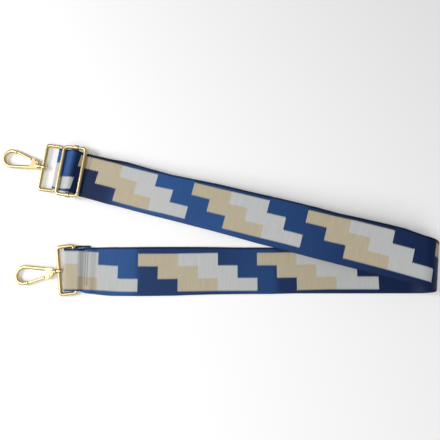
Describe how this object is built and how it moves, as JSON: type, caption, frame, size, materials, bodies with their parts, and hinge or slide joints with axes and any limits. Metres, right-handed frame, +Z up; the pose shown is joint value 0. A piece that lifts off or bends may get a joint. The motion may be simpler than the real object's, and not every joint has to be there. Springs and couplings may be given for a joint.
{
  "type": "detachable bag strap",
  "caption": "Wide webbing strap for a bag, folded once in a narrow V, with a sliding adjuster, wire rings and a swivel snap hook at each end.",
  "frame": {"origin": "middle of the lower leg's flat underside, on its middle line, on the surface that the strap lies on", "axes": "+X along the lower leg from its hook to the fold, +Y across it to the side of the upper leg, +Z up"},
  "size_m": [0.4777, 0.1709, 0.0401],
  "materials": {
    "webbing": "woven, fine ribs across, stepped blocks in blue, white and beige",
    "thread": "sewn rows, pale",
    "gold_plate": "pale gold plate, polished",
    "spring_steel": "plain"
  },
  "bodies": {
    "strap_lower": {"webbing_lower_leg": "webbing", "stitching_fixed_end_1": "thread", "stitching_fixed_end_2": "thread"},
    "fold_link_1": {"webbing_fold_1": "webbing"},
    "fold_link_2": {"webbing_fold_2": "webbing"},
    "fold_link_3": {"webbing_fold_3": "webbing"},
    "strap_upper": {"webbing_fold_4": "webbing", "webbing_upper_leg": "webbing", "webbing_adjusting_run": "webbing"},
    "slider": {"slider_frame": "gold_plate", "webbing_hump": "webbing", "webbing_top_link": "webbing", "webbing_return_layer": "webbing"},
    "slider_bar": {"slider_bar": "gold_plate", "webbing_sewn_end": "webbing", "stitching_adjusting_end": "thread"},
    "ring_loop": {"webbing_ring_loop": "webbing"},
    "ring_adjusting_end": {"ring_adjusting_end": "gold_plate"},
    "hook_adjusting_end": {"hook_body_adjusting_end": "gold_plate", "swivel_rivet_adjusting_end": "gold_plate", "gate_pin_adjusting_end": "gold_plate", "gate_spring_adjusting_end": "spring_steel"},
    "gate_adjusting_end": {"hook_gate_adjusting_end": "gold_plate"},
    "ring_fixed_end": {"ring_fixed_end": "gold_plate"},
    "hook_fixed_end": {"hook_body_fixed_end": "gold_plate", "swivel_rivet_fixed_end": "gold_plate", "gate_pin_fixed_end": "gold_plate", "gate_spring_fixed_end": "spring_steel"},
    "gate_fixed_end": {"hook_gate_fixed_end": "gold_plate"}
  },
  "joints": [
    {"name": "strap_fold_1", "type": "hinge", "parent": "strap_lower", "child": "fold_link_1", "pos_m": [0.21475, -0.00108, 0.0007], "axis": [0.1314, 0.9913, 0], "range_deg": [0, 45], "deforming": ["webbing_fold_1"]},
    {"name": "strap_fold_2", "type": "hinge", "parent": "fold_link_1", "child": "fold_link_2", "pos_m": [0.22605, -0.00258, 0.01257], "axis": [0.1314, 0.9913, 0], "range_deg": [0, 45], "deforming": ["webbing_fold_2"]},
    {"name": "strap_fold_3", "type": "hinge", "parent": "fold_link_2", "child": "fold_link_3", "pos_m": [0.22539, -0.00249, 0.029], "axis": [0.1314, 0.9913, 0], "range_deg": [0, 45], "deforming": ["webbing_fold_3"]},
    {"name": "strap_fold_4", "type": "hinge", "parent": "fold_link_3", "child": "strap_upper", "pos_m": [0.21317, -0.00087, 0.03991], "axis": [0.1314, 0.9913, 0], "range_deg": [0, 45], "deforming": ["webbing_fold_4"]},
    {"name": "slider_slide", "type": "slide", "parent": "strap_upper", "child": "slider", "axis": [0.9622, -0.2601, 0.0807], "range_m": [0, 0.28], "deforming": ["webbing_adjusting_run"]},
    {"name": "slider_bar_play", "type": "slide", "parent": "slider", "child": "slider_bar", "axis": [0.9879, -0.1318, 0.0814], "range_m": [-0.0012, 0.0012], "deforming": ["webbing_hump", "webbing_sewn_end"]},
    {"name": "ring_loop_slide", "type": "slide", "parent": "slider", "child": "ring_loop", "axis": [0.9622, -0.2601, 0.0807], "range_m": [-0.14, 0], "deforming": ["webbing_top_link", "webbing_return_layer"]},
    {"name": "ring_swing_adjusting_end", "type": "hinge", "parent": "ring_loop", "child": "ring_adjusting_end", "pos_m": [-0.18307, 0.11391, 0.00388], "axis": [0.1323, 0.9912, 0.0001], "range_deg": [-75, 75]},
    {"name": "hook_swivel_adjusting_end", "type": "hinge", "parent": "ring_adjusting_end", "child": "hook_adjusting_end", "pos_m": [-0.20042, 0.11623, 0.00379], "axis": [-0.974, 0.2266, -0.0054], "continuous": true},
    {"name": "gate_open_adjusting_end", "type": "hinge", "parent": "hook_adjusting_end", "child": "gate_adjusting_end", "pos_m": [-0.2098, 0.12313, 0.00374], "axis": [-0.0054, 0.0006, 1], "range_deg": [0, 30], "stiffness_Nm_per_rad": 0.03, "springref_deg": -20.05, "deforming": ["gate_spring_adjusting_end"]},
    {"name": "ring_swing_fixed_end", "type": "hinge", "parent": "strap_lower", "child": "ring_fixed_end", "pos_m": [-0.1583, 0.0014, 0.0034], "axis": [-0.1305, 0.9914, 0], "range_deg": [-60, 60]},
    {"name": "hook_swivel_fixed_end", "type": "hinge", "parent": "ring_fixed_end", "child": "hook_fixed_end", "pos_m": [-0.17565, -0.00088, 0.00332], "axis": [-0.9962, -0.0872, -0.0047], "continuous": true},
    {"name": "gate_open_fixed_end", "type": "hinge", "parent": "hook_fixed_end", "child": "gate_fixed_end", "pos_m": [-0.18591, -0.0064, 0.00327], "axis": [0.0046, 0.0006, -1], "range_deg": [0, 30], "stiffness_Nm_per_rad": 0.03, "springref_deg": -20.05, "deforming": ["gate_spring_fixed_end"]}
  ],
  "couplings": [
    {"joint": "ring_loop_slide", "follows": "slider_slide", "ratio": -0.5}
  ]
}
